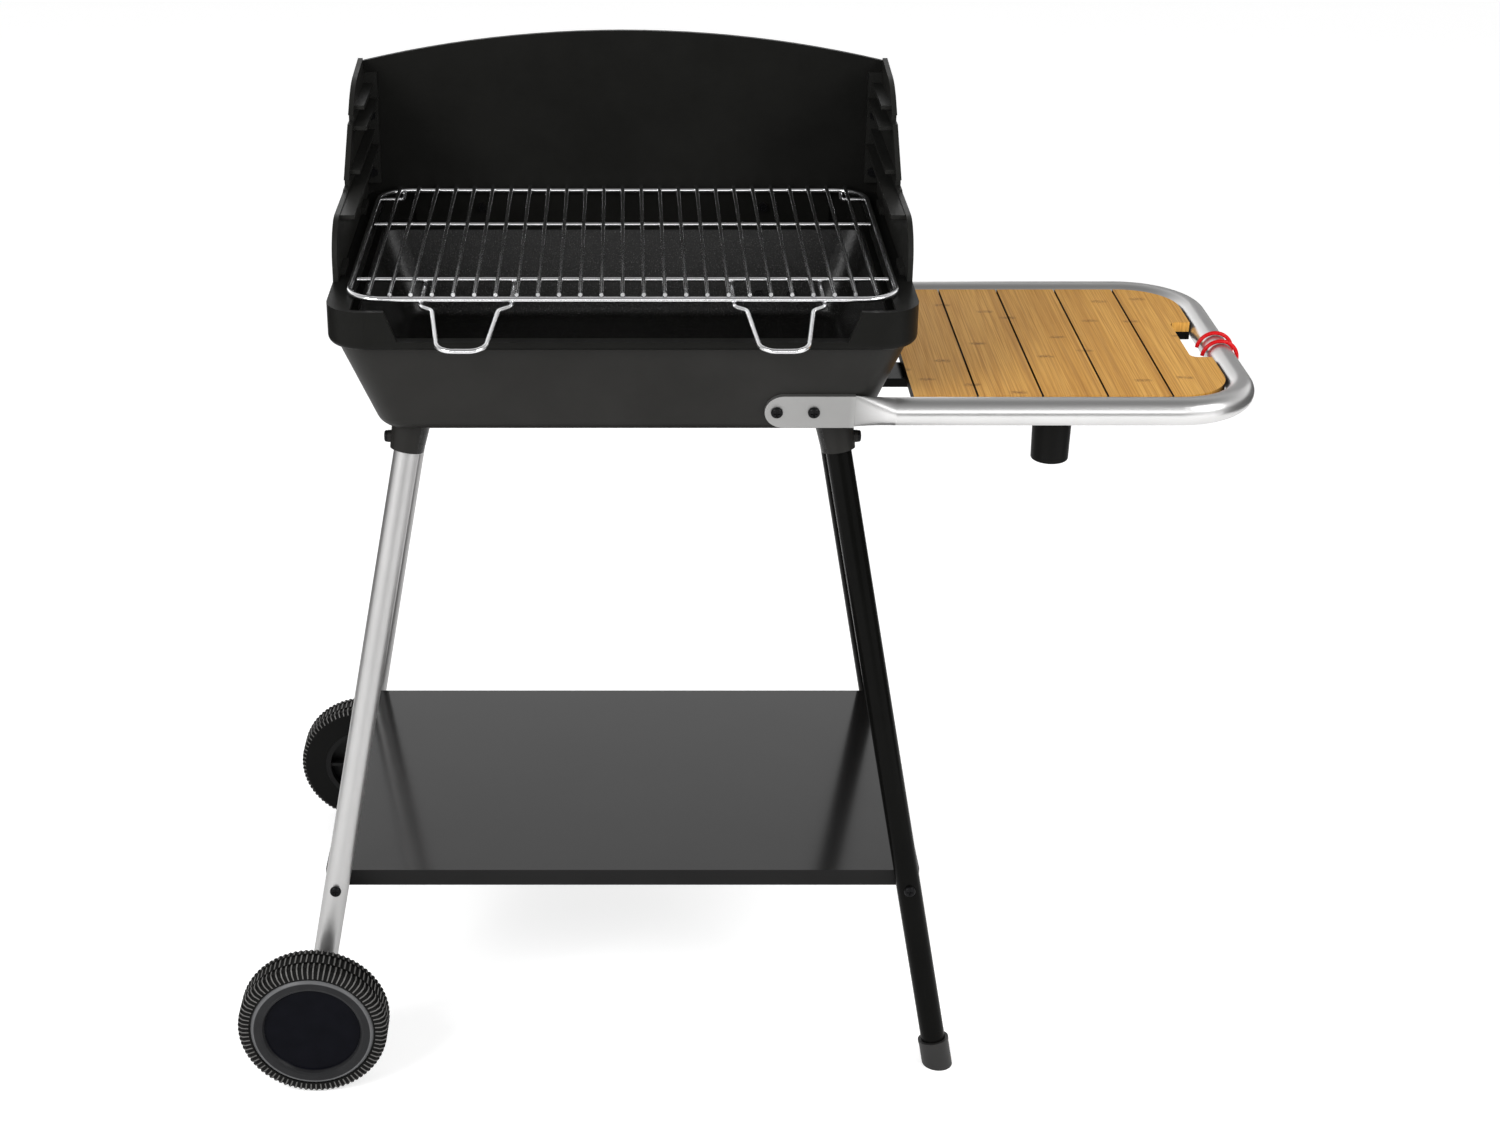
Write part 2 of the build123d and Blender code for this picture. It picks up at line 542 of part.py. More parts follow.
def wing():
    """Right side wing: stepped plate with guide ribs, front slots, a bolted flange and two tabs."""
    points = [
        (BELT_FRONT + WING_FRONT_INSET, 0),
        (BELT_FRONT + WING_FRONT_INSET, WING_LOW_HEIGHT),
        (BELT_FRONT + WING_RAMP_START, WING_LOW_HEIGHT),
        (BELT_FRONT + WING_RAMP_END, WING_RAMP_TOP),
        (BACK_FRONT, WING_REAR_HEIGHT),
        (BACK_FRONT, 0),
    ]
    face = make_face(Polyline(*points, close=True))
    for point, radius in zip(points[1:4], (WING_NOSE_RADIUS, WING_RAMP_RADIUS, WING_TOP_RADIUS)):
        face = fillet(face.vertices().sort_by_distance((*point, 0))[0], radius)
    side = Plane((WING_INNER_X, 0, BELT_TOP), x_dir=(0, 1, 0), z_dir=(1, 0, 0))
    plate = extrude(side * face, WING_THICKNESS)
    low_start = BELT_FRONT + WING_FRONT_INSET + WING_NOSE_RADIUS
    ribs = (
        (RIB_LOW_LEVEL, low_start, RIB_LEDGE_WIDTH),
        (RIB_LOW_LEVEL + RIB_CHANNEL + RIB_THICKNESS, None, RIB_GUIDE_WIDTH),
        (RIB_HIGH_LEVEL, None, RIB_LEDGE_WIDTH),
        (RIB_HIGH_LEVEL + RIB_CHANNEL + RIB_THICKNESS, None, RIB_GUIDE_WIDTH),
    )
    for level, start, width in ribs:
        first = ramp_edge(level) + RIB_INSET if start is None else start
        plate += span_box(
            (WING_INNER_X - width, first, BELT_TOP + level - RIB_THICKNESS),
            (WING_INNER_X + WING_THICKNESS / 2, BACK_FRONT, BELT_TOP + level),
        )
    for level in (RIB_LOW_LEVEL, RIB_HIGH_LEVEL):
        middle = level + RIB_CHANNEL / 2
        plate -= Pos(WING_INNER_X, ramp_edge(middle), BELT_TOP + middle) * Box(4 * WING_THICKNESS, SLOT_LENGTH, SLOT_HEIGHT)
    plate += span_box(
        (WING_INNER_X - WING_FLANGE_WIDTH, BACK_FRONT - WING_FLANGE_THICKNESS, BELT_TOP + WING_FLANGE_FOOT),
        (WING_INNER_X + WING_THICKNESS / 2, BACK_FRONT, BELT_TOP + WING_REAR_HEIGHT - WING_FLANGE_DROP),
    )
    for y in (TAB_FRONT, TAB_REAR):
        middle = BELT_FRONT + y
        plate += span_box(
            (TAB_OUTER_X - TAB_THICKNESS, middle - TAB_WIDTH / 2, BELT_TOP - TAB_DEPTH),
            (TAB_OUTER_X, middle + TAB_WIDTH / 2, BELT_TOP + TAB_ROOT),
        )
        plate += span_box(
            (TAB_OUTER_X - TAB_THICKNESS, middle - TAB_WIDTH / 2, BELT_TOP),
            (WING_INNER_X + WING_THICKNESS / 2, middle + TAB_WIDTH / 2, BELT_TOP + TAB_ROOT),
        )
    for place in wing_bolt_seats():
        plate -= hole(place, SMALL_SCREW, BACK_THICKNESS + WING_FLANGE_THICKNESS)
    for place in tab_bolt_seats(1):
        plate -= hole(place, SMALL_SCREW, BELT_WALL + TAB_THICKNESS + SEAT_CLEARANCE)
    return plate


def leg(side, end):
    """Tube leg with holes for its socket screw, its shelf screw and, on the left, the axle."""
    low = FOOT_FLOOR + LEG_RADIUS * LEG_TILT_SINE if side > 0 else WHEEL_RADIUS - LEG_BELOW_AXLE
    tube = leg_bar(LEG_RADIUS, side, end, low, LEG_HEAD_Z)
    tube -= leg_bar(LEG_RADIUS - LEG_WALL, side, end, low - LEG_RADIUS, LEG_HEAD_Z + LEG_RADIUS)
    tube -= hole(socket_screw_seat(side, end), LARGE_SCREW, SOCKET_BOSS_REACH - LARGE_SCREW / 2)
    tube -= hole(shelf_screw_seat(side, end), LARGE_SCREW, 3 * LEG_RADIUS)
    if side < 0:
        middle = leg_at(WHEEL_RADIUS, side, end)
        tube -= Plane(middle, z_dir=(0, 1, 0)) * Cylinder(AXLE_RADIUS + SEAT_CLEARANCE, 2 * LEG_DIAMETER)
    return tube


def foot_cap(end):
    """Moulded cap on a right leg, cut flat where it stands on the floor."""
    tilt = LEG_RADIUS * LEG_TILT_SINE
    outer = leg_bar(LEG_RADIUS + FOOT_WALL, 1, end, -FOOT_HEIGHT, FOOT_HEIGHT)
    outer += leg_bar(LEG_RADIUS + FOOT_WALL + FOOT_BEAD, 1, end, FOOT_HEIGHT - FOOT_BEAD_HEIGHT, FOOT_HEIGHT)
    outer -= leg_bar(LEG_RADIUS + SEAT_CLEARANCE, 1, end, FOOT_FLOOR + tilt - SEAT_CLEARANCE, 2 * FOOT_HEIGHT)
    middle = leg_at(0, 1, end)
    return outer - Pos(middle.X, middle.Y, -FOOT_HEIGHT) * Box(4 * LEG_DIAMETER, 4 * LEG_DIAMETER, 2 * FOOT_HEIGHT)


def shelf_screw_seat(side, end):
    """Seat of a shelf screw on the outer face of a leg."""
    middle = leg_at(SHELF_SCREW_Z, side, end)
    head_slack = LARGE_SCREW * HEAD_RATIO / 2 * LEAN_Y
    return seat((middle.X, middle.Y + end * (LEG_REACH_Y + head_slack), middle.Z), (0, end, 0))


def lower_shelf():
    """Folded sheet shelf with a skirt on all four sides."""
    low = SHELF_TOP - SHELF_SKIRT
    tray = extrude(RectangleRounded(SHELF_WIDTH, SHELF_DEPTH, SHELF_CORNER_RADIUS), SHELF_SKIRT)
    inside = RectangleRounded(SHELF_WIDTH - 2 * SHELF_SHEET, SHELF_DEPTH - 2 * SHELF_SHEET,
                              SHELF_CORNER_RADIUS - SHELF_SHEET)
    tray = Pos(0, 0, low) * (tray - extrude(inside, SHELF_SKIRT - SHELF_SHEET))
    for side in (-1, 1):
        for end in (-1, 1):
            tray -= hole(shelf_screw_seat(side, end), LARGE_SCREW, 4 * LEG_RADIUS)
    return tray


def wheel_place(end):
    """Plane of a wheel's inner face, with Z outward along the axle."""
    return Plane((-AXLE_X, end * WHEEL_Y, WHEEL_RADIUS), x_dir=(1, 0, 0), z_dir=(0, end, 0))


def tyre():
    """Tyre with three tread bands, rounded shoulders and a seat for the hubcap."""
    radius = WHEEL_RADIUS
    bore = TYRE_BORE / 2
    seat_radius = CAP_SEAT_DIAMETER / 2
    seat_start = TYRE_WIDTH - CAP_SEAT_DEPTH
    half_band = TREAD_BAND / 2
    middle = TYRE_WIDTH / 2
    shoulder = TYRE_SHOULDER
    groove = radius - TREAD_GROOVE_DEPTH
    outline = Polyline(
        (radius - shoulder, TYRE_WIDTH), (seat_radius, TYRE_WIDTH), (seat_radius, seat_start),
        (bore, seat_start), (bore, 0), (radius - shoulder, 0),
    )
    outline += RadiusArc((radius - shoulder, 0), (radius, shoulder), -shoulder)
    outline += Polyline(
        (radius, shoulder),
        (radius, middle - half_band - TREAD_GROOVE_WIDTH), (groove, middle - half_band - TREAD_GROOVE_WIDTH),
        (groove, middle - half_band), (radius, middle - half_band),
        (radius, middle + half_band), (groove, middle + half_band),
        (groove, middle + half_band + TREAD_GROOVE_WIDTH), (radius, middle + half_band + TREAD_GROOVE_WIDTH),
        (radius, TYRE_WIDTH - shoulder),
    )
    outline += RadiusArc((radius, TYRE_WIDTH - shoulder), (radius - shoulder, TYRE_WIDTH), -shoulder)
    return revolve(Plane.XZ * make_face(outline), Axis.Z)


def hub():
    """Wheel hub: boss with the axle's bore, web, rim and radial ribs on the inner side."""
    bore = AXLE_RADIUS + RUNNING_CLEARANCE
    rim_outer = TYRE_BORE / 2 - SEAT_CLEARANCE
    rim_inner = rim_outer - HUB_RIM_WALL
    rim_end = TYRE_WIDTH - CAP_SEAT_DEPTH
    web_end = HUB_WEB_OFFSET + HUB_WEB
    body = ring_of((
        (bore, -HUB_STANDOFF), (HUB_BOSS_RADIUS, -HUB_STANDOFF), (HUB_BOSS_RADIUS, HUB_WEB_OFFSET),
        (rim_inner, HUB_WEB_OFFSET), (rim_inner, 0), (rim_outer, 0), (rim_outer, rim_end), (rim_inner, rim_end),
        (rim_inner, web_end), (HUB_BOSS_RADIUS, web_end), (HUB_BOSS_RADIUS, HUB_END), (bore, HUB_END),
    ))
    start = HUB_BOSS_RADIUS - HUB_RIB_WIDTH / 2
    stop = rim_inner + HUB_RIM_WALL / 2
    rib = span_box(
        (start, -HUB_RIB_WIDTH / 2, HUB_RIB_SETBACK), (stop, HUB_RIB_WIDTH / 2, HUB_WEB_OFFSET + HUB_WEB / 2))
    for turn in range(HUB_RIB_COUNT):
        body += Rot(0, 0, turn * 360 / HUB_RIB_COUNT) * rib
    return body


def hubcap():
    """Bare hubcap: raised ring round a shallow dish."""
    outer = CAP_SEAT_DIAMETER / 2 - SEAT_CLEARANCE
    inner = outer - CAP_RING_WIDTH
    back = TYRE_WIDTH - CAP_SEAT_DEPTH + SEAT_CLEARANCE
    front = TYRE_WIDTH + CAP_PROUD
    dish = front - CAP_DISH
    return ring_of((
        (0, dish), (inner - CAP_SHEET, dish), (inner, front - CAP_PROUD), (inner + CAP_SHEET, front),
        (outer - CAP_SHEET, front), (outer, front - CAP_SHEET), (outer, back), (inner, back),
        (inner - CAP_SHEET, dish - CAP_SHEET), (0, dish - CAP_SHEET),
    ))


def retainer():
    """Push-on cap that keeps a wheel on the axle."""
    bore = AXLE_RADIUS + RUNNING_CLEARANCE
    roof = RETAINER_START + RETAINER_HEIGHT - RETAINER_ROOF
    return ring_of((
        (bore, RETAINER_START), (RETAINER_RADIUS, RETAINER_START), (RETAINER_RADIUS, roof),
        (RETAINER_RADIUS - RETAINER_ROOF, roof + RETAINER_ROOF), (0, roof + RETAINER_ROOF), (0, roof), (bore, roof),
    ))


def side_handle():
    """Bent tube of the side table with both ends flattened against the tub's walls."""
    front = FIREBOX_Y - TUBE_HALF_SPAN
    rear = FIREBOX_Y + TUBE_HALF_SPAN
    path = FilletPolyline(
        (TUBE_START, front, TUBE_HEIGHT), (TUBE_REACH, front, TUBE_HEIGHT),
        (TUBE_REACH, rear, TUBE_HEIGHT), (TUBE_START, rear, TUBE_HEIGHT), radius=TUBE_BEND_RADIUS)
    tube = wire(path, TUBE_DIAMETER) - wire(path, TUBE_DIAMETER - 2 * TUBE_WALL)
    for end in (-1, 1):
        middle = (0, FIREBOX_Y + end * TUBE_HALF_SPAN, TUBE_HEIGHT)
        flat = wall_seat(0, end)
        length = PLATE_END - PLATE_START
        plate = extrude(SlotOverall(length + PLATE_HEIGHT, PLATE_HEIGHT), PLATE_THICKNESS)
        plate &= Pos(-PLATE_HEIGHT / 2, 0, 0) * Box(length, PLATE_HEIGHT, 4 * PLATE_THICKNESS)
        tube += flat * Pos((PLATE_START + PLATE_END + PLATE_HEIGHT) / 2, 0, 0) * plate
        across = Plane(middle, x_dir=flat.y_dir, z_dir=(1, 0, 0))
        thin = Ellipse(PLATE_HEIGHT / 2 - SEAT_CLEARANCE, PLATE_THICKNESS / 2 - SEAT_CLEARANCE)
        blend = loft([across.offset(PLATE_END) * thin, across.offset(TUBE_START) * Circle(TUBE_RADIUS)])
        tube += blend
        for x in plate_screw_places():
            tube -= hole(wall_seat(x, end).offset(PLATE_THICKNESS), LARGE_SCREW, PLATE_THICKNESS)
    return tube


def board_outline():
    """Plan of the slatted board, with rounded outer corners and the hand notch."""
    length = BOARD_END - BOARD_START
    board = Rectangle(length, 2 * BOARD_HALF)
    board = fillet(board.vertices().group_by(Axis.X)[-1], BOARD_CORNER_RADIUS)
    notch = Rectangle(2 * NOTCH_DEPTH, NOTCH_LENGTH)
    notch = fillet(notch.vertices().group_by(Axis.X)[0], NOTCH_RADIUS)
    board -= Pos(length / 2, 0) * notch
    return Pos((BOARD_START + BOARD_END) / 2, FIREBOX_Y) * board


def slat_screw_place(index, end):
    """Seat of a slat's screw under a rail."""
    middle = BOARD_START + (index + 0.5) * SLAT_PITCH - SLAT_GAP / 2
    return seat((middle - end * SLAT_SCREW_OFFSET, RAIL_MIDDLE + end * RAIL_SPACING / 2, RAIL_UNDERSIDE), DOWNWARD)


def slat(index):
    """One slat of the board, cut from the board's outline."""
    start = BOARD_START + index * SLAT_PITCH
    strip = Pos(start, FIREBOX_Y - BOARD_HALF) * Rectangle(
        SLAT_PITCH - SLAT_GAP, 2 * BOARD_HALF, align=(Align.MIN, Align.MIN))
    plank = Pos(0, 0, BOARD_UNDERSIDE) * extrude(board_outline() & strip, SLAT_THICKNESS)
    for end in (-1, 1):
        place = slat_screw_place(index, end)
        pilot = WOOD_SCREW / 2 + RUNNING_CLEARANCE
        depth = RAIL_HEIGHT + SLAT_SCREW_BITE + SEAT_CLEARANCE
        plank -= place * Pos(0, 0, -depth) * Cylinder(pilot, depth, align=BOTTOM)
    return plank


def slat_rail(end):
    """Rectangular tube under the slats, from the tub's wall to the bent tube."""
    y = RAIL_MIDDLE + end * RAIL_SPACING / 2
    rail = span_box((RAIL_START, y - RAIL_WIDTH / 2, RAIL_UNDERSIDE), (RAIL_END, y + RAIL_WIDTH / 2, BOARD_UNDERSIDE))
    rail -= span_box(
        (RAIL_START - RAIL_WIDTH, y - RAIL_WIDTH / 2 + RAIL_WALL, RAIL_UNDERSIDE + RAIL_WALL),
        (RAIL_END + RAIL_WIDTH, y + RAIL_WIDTH / 2 - RAIL_WALL, BOARD_UNDERSIDE - RAIL_WALL))
    for index in range(SLAT_COUNT):
        rail -= hole(slat_screw_place(index, end), WOOD_SCREW, RAIL_HEIGHT)
    if end < 0:
        rail -= hole(post_screw_seat(), SMALL_SCREW, POST_HEAD + RAIL_WALL - SMALL_SCREW / 2)
    return rail


def post_screw_seat():
    """Seat of the screw that holds the post, inside the post's hollow."""
    return seat((POST_X, POST_Y, RAIL_UNDERSIDE - POST_HEAD), DOWNWARD)


def board_post():
    """Tapered hollow post with a closed head under the front rail."""
    top = POST_TOP_DIAMETER / 2
    low = POST_END_DIAMETER / 2
    post = Cone(low, top, POST_LENGTH, align=BOTTOM)
    post = fillet(post.edges().group_by(Axis.Z)[0], POST_EDGE_RADIUS)
    post -= Cone(low - POST_WALL, top - POST_WALL, POST_LENGTH - POST_HEAD, align=BOTTOM)
    post = Pos(POST_X, POST_Y, RAIL_UNDERSIDE - POST_LENGTH) * post
    return post - hole(post_screw_seat(), SMALL_SCREW, POST_HEAD)


def tool_hook(offset):
    """Bent wire hook: a wide bend over the tube, a stem below it and a small open bend."""
    over = 90 + 90 - HOOK_TIP_TURN
    centre = HOOK_PIVOT_RADIUS - HOOK_TOP_RADIUS
    start = (HOOK_TOP_RADIUS * math.cos(math.radians(over)), centre + HOOK_TOP_RADIUS * math.sin(math.radians(over)))
    heading = math.radians(over - 90)
    upper = JernArc(start, (math.cos(heading), math.sin(heading)), HOOK_TOP_RADIUS, -(over + HOOK_OVER_TURN))
    stem = Line(upper @ 1, upper @ 1 + (upper % 1) * HOOK_STEM)
    lower = JernArc(stem @ 1, stem % 1, HOOK_END_RADIUS, HOOK_END_TURN)
    place = Plane((TUBE_REACH, FIREBOX_Y + offset, TUBE_HEIGHT), x_dir=(1, 0, 0), z_dir=(0, -1, 0))
    return wire(place * (upper + stem + lower), HOOK_WIRE)


def grate_frame():
    """Rounded rectangle of wire round the grate."""
    outline = RectangleRounded(GRATE_WIDTH, GRATE_DEPTH, GRATE_CORNER_RADIUS)
    return wire(Pos(0, (GRATE_FRONT + GRATE_REAR) / 2, GRATE_Z) * outline.wire(), FRAME_WIRE)


def grate_rods():
    """Rods that lie along the depth, on top of the frame and the cross wires."""
    rods = []
    flat = GRATE_WIDTH / 2 - GRATE_CORNER_RADIUS
    for index in range(ROD_COUNT):
        x = (index - (ROD_COUNT - 1) / 2) * ROD_PITCH
        into_corner = max(0.0, min(abs(x) - flat, GRATE_CORNER_RADIUS))
        inset = GRATE_CORNER_RADIUS - math.sqrt(GRATE_CORNER_RADIUS ** 2 - into_corner ** 2)
        rods.append(rod((x, GRATE_FRONT + inset, ROD_Z), (x, GRATE_REAR - inset, ROD_Z), ROD_WIRE / 2))
    return rods


def grate_cross_wires():
    """Two wires across the grate, under the rods and inside the frame."""
    half = GRATE_WIDTH / 2 - FRAME_WIRE / 2 - CROSS_GAP
    wires = []
    for y in (GRATE_FRONT + CROSS_FRONT, GRATE_FRONT + CROSS_REAR):
        wires.append(rod((-half, y, CROSS_Z), (half, y, CROSS_Z), CROSS_WIRE / 2))
    return wires


def grate_handle(side):
    """Loop handle welded under the frame and the front cross wire, drooping towards its tip."""
    x = side * (GRATE_WIDTH / 2 - GRATE_HANDLE_INSET)
    back = GRATE_FRONT + CROSS_FRONT + GRATE_HANDLE_TAIL
    bend = GRATE_FRONT - FRAME_WIRE
    neck = GRATE_FRONT - GRATE_HANDLE_NECK_REACH
    tip = GRATE_FRONT - GRATE_HANDLE_REACH
    low = GRATE_HANDLE_Z - GRATE_HANDLE_DROP
    half = (
        (GRATE_HANDLE_BASE / 2, back, GRATE_HANDLE_Z), (GRATE_HANDLE_BASE / 2, bend, GRATE_HANDLE_Z),
        (GRATE_HANDLE_NECK / 2, neck, GRATE_HANDLE_Z), (GRATE_HANDLE_TIP / 2, tip, low),
    )
    points = [(x - dx, y, z) for dx, y, z in half] + [(x + dx, y, z) for dx, y, z in reversed(half)]
    bends = (GRATE_HANDLE_BEND, GRATE_HANDLE_BEND, GRATE_HANDLE_TIP_BEND)
    return wire(FilletPolyline(*points, radius=bends + bends[::-1]), GRATE_HANDLE_WIRE)


def grate_stop(side):
    """Short wire inside a rear corner, with its end turned up as a stop."""
    start = GRATE_WIDTH / 2 - FRAME_WIRE / 2 - WELD_GAP
    y = GRATE_REAR - STOP_INSET
    path = FilletPolyline(
        (side * start, y, GRATE_Z), (side * (start - STOP_LENGTH), y, GRATE_Z),
        (side * (start - STOP_LENGTH), y, GRATE_Z + STOP_RISE), radius=STOP_WIRE)
    return wire(path, STOP_WIRE)


def add(name, *solids):
    """Keeps one sub-part: a single solid, or a group of like solids."""
    pieces = [solid for shape in solids for solid in shape.solids()]
    parts[name] = pieces[0] if len(pieces) == 1 else Compound(pieces)


SIDES = ((-1, "left"), (1, "right"))
ENDS = ((-1, "front"), (1, "rear"))
CORNERS = [(side, end) for side in (-1, 1) for end in (-1, 1)]

add("firebox_tub", firebox_tub())
add("firebox_belt", firebox_belt())
add("windshield_back", windshield_back())
right_wing = wing()
add("windshield_right", right_wing)
add("windshield_left", mirror(right_wing, about=Plane.YZ))

flange_length = BACK_THICKNESS + WING_FLANGE_THICKNESS
tongue_length = BELT_WALL + BACK_THICKNESS
tab_length = BELT_WALL + SEAT_CLEARANCE + TAB_THICKNESS
small_nut = SMALL_SCREW * NUT_HEIGHT_RATIO
wall_bolts = []
wall_nuts = []
for places, grip in ((wing_bolt_seats(), flange_length), (back_bolt_seats(), tongue_length)):
    for place in places:
        wall_bolts.append(screw(place, SMALL_SCREW, grip + small_nut))
        wall_nuts.append(nut(place.offset(-grip - small_nut), SMALL_SCREW))
add("windshield_bolts", *wall_bolts)
add("windshield_nuts", *wall_nuts)
tab_places = tab_bolt_seats(-1) + tab_bolt_seats(1)
add("wing_tab_bolts", *[screw(place, SMALL_SCREW, tab_length + small_nut) for place in tab_places])
add("wing_tab_nuts", *[nut(place.offset(-tab_length - small_nut), SMALL_SCREW) for place in tab_places])

for side, side_name in SIDES:
    for end, end_name in ENDS:
        add(f"leg_{end_name}_{side_name}", leg(side, end))
grip = SOCKET_BOSS_REACH - LEG_RADIUS + LEG_WALL + SOCKET_SCREW_BITE
add("leg_socket_screws", *[screw(socket_screw_seat(*corner), LARGE_SCREW, grip) for corner in CORNERS])
for end, end_name in ENDS:
    add(f"foot_cap_{end_name}", foot_cap(end))

add("lower_shelf", lower_shelf())
large_nut = LARGE_SCREW * NUT_HEIGHT_RATIO
shelf_inside = SHELF_DEPTH / 2 - SHELF_SHEET
shelf_screws = []
shelf_nuts = []
for side, end in CORNERS:
    place = shelf_screw_seat(side, end)
    length = abs(place.origin.Y) - shelf_inside + large_nut
    shelf_screws.append(screw(place, LARGE_SCREW, length))
    shelf_nuts.append(nut(place.offset(-length), LARGE_SCREW))
add("shelf_screws", *shelf_screws)
add("shelf_nuts", *shelf_nuts)

axle_end = WHEEL_Y + RETAINER_START + RETAINER_HEIGHT - RETAINER_ROOF - SEAT_CLEARANCE
add("wheel_axle", rod((-AXLE_X, -axle_end, WHEEL_RADIUS), (-AXLE_X, axle_end, WHEEL_RADIUS), AXLE_RADIUS))
washer = Cylinder(WASHER_RADIUS, WASHER_THICKNESS, align=BOTTOM)
washer -= Cylinder(AXLE_RADIUS + RUNNING_CLEARANCE, 4 * WASHER_THICKNESS)
washer_drop = WASHER_Y - WHEEL_Y
add("axle_washers", *[wheel_place(end).offset(washer_drop) * washer for end, _ in ENDS])
add("axle_retainers", *[wheel_place(end) * retainer() for end, _ in ENDS])
for end, end_name in ENDS:
    place = wheel_place(end)
    add(f"{end_name}_tyre", place * tyre())
    add(f"{end_name}_hub", place * hub())
    add(f"{end_name}_hubcap", place * hubcap())

add("side_handle", side_handle())
plate_screws = []
plate_nuts = []
wall_grip = PLATE_THICKNESS + TUB_WALL / WALL_NORMAL_LENGTH
for end, _ in ENDS:
    for x in plate_screw_places():
        place = wall_seat(x, end).offset(PLATE_THICKNESS)
        plate_screws.append(screw(place, LARGE_SCREW, wall_grip + large_nut))
        plate_nuts.append(nut(place.offset(-wall_grip - large_nut), LARGE_SCREW))
add("handle_screws", *plate_screws)
add("handle_nuts", *plate_nuts)
for end, end_name in ENDS:
    add(f"slat_rail_{end_name}", slat_rail(end))
for index in range(SLAT_COUNT):
    add(f"slat_{index + 1}", slat(index))
slat_screws = []
for index in range(SLAT_COUNT):
    for end, _ in ENDS:
        slat_screws.append(screw(slat_screw_place(index, end), WOOD_SCREW, RAIL_HEIGHT + SLAT_SCREW_BITE))
add("slat_screws", *slat_screws)
add("board_post", board_post())
add("post_screw", screw(post_screw_seat(), SMALL_SCREW, POST_HEAD + RAIL_WALL))

add("tool_hook_front", tool_hook(-HOOK_FRONT_OFFSET))
add("tool_hook_rear", tool_hook(-HOOK_REAR_OFFSET))

add("grate_frame", grate_frame())
add("grate_rods", *grate_rods())
add("grate_cross_wires", *grate_cross_wires())
for side, side_name in SIDES:
    add(f"grate_handle_{side_name}", grate_handle(side))
add("grate_stops", *[grate_stop(side) for side, _ in SIDES])

# The origin is on the floor, under the middle of the whole object
boxes = [shape.bounding_box() for shape in parts.values()]
middle_x = (min(box.min.X for box in boxes) + max(box.max.X for box in boxes)) / 2
middle_y = (min(box.min.Y for box in boxes) + max(box.max.Y for box in boxes)) / 2
print(f"origin moved by {-middle_x:.3f}, {-middle_y:.3f}")

os.makedirs("parts", exist_ok=True)
for name, shape in parts.items():
    export_step(Pos(-middle_x, -middle_y, 0) * shape, f"parts/{name}.step")
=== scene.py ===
import bpy
import json
import math
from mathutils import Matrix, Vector


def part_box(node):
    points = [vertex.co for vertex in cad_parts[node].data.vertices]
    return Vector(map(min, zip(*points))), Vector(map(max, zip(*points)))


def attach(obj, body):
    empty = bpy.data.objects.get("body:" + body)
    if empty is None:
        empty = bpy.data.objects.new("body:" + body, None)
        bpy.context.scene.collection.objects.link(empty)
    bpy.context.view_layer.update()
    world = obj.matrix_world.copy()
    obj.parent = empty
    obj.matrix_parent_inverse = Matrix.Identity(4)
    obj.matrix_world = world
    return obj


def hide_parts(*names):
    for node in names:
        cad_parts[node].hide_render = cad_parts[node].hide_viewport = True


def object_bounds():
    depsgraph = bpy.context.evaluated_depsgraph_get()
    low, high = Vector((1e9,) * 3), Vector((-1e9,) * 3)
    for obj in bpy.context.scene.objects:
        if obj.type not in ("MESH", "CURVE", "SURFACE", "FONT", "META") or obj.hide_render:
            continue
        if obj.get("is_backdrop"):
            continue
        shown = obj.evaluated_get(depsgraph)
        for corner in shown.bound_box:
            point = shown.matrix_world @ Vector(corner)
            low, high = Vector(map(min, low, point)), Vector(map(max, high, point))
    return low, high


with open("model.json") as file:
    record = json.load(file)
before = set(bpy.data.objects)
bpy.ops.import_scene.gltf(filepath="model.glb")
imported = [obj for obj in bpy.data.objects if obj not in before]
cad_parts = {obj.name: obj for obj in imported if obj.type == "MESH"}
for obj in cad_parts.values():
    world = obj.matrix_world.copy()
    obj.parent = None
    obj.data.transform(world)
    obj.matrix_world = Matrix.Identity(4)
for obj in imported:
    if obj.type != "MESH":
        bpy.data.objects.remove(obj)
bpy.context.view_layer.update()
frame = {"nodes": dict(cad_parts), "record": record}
nodes = frame["nodes"]
slot_of = {part["node"]: part["material_slot"] for part in frame["record"]["subparts"]}


# Places and sizes that the materials go by, in metres

PLATE_LENGTH = 0.080
PLATE_BLEND = 0.035
PLATE_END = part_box("side_handle")[0][0] + PLATE_LENGTH
TUB_MIDDLE_DROP = 0.010
low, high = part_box("firebox_tub")
TUB_MIDDLE = ((low[0] + high[0]) / 2, (low[1] + high[1]) / 2, high[2] - TUB_MIDDLE_DROP)
low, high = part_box("front_hubcap")
AXLE_X = (low[0] + high[0]) / 2
AXLE_Z = (low[2] + high[2]) / 2
CAP_RING_RADIUS = 0.0482
CAP_RING_BLEND = 0.0010
CAP_RIM_RADIUS = 0.0588
CAP_RIM_BLEND = 0.0006
STRIP_WIDTH = 0.0208
NODE_SPACING = 0.235
NODE_STAGGER = 0.37
NODE_WAVER = 0.007

# Colours and scales that more than one material shares

SILVER = (0.74, 0.735, 0.73)
CLOUD_SCALE = 14.0
FINE_GRAIN = 900.0


# Materials

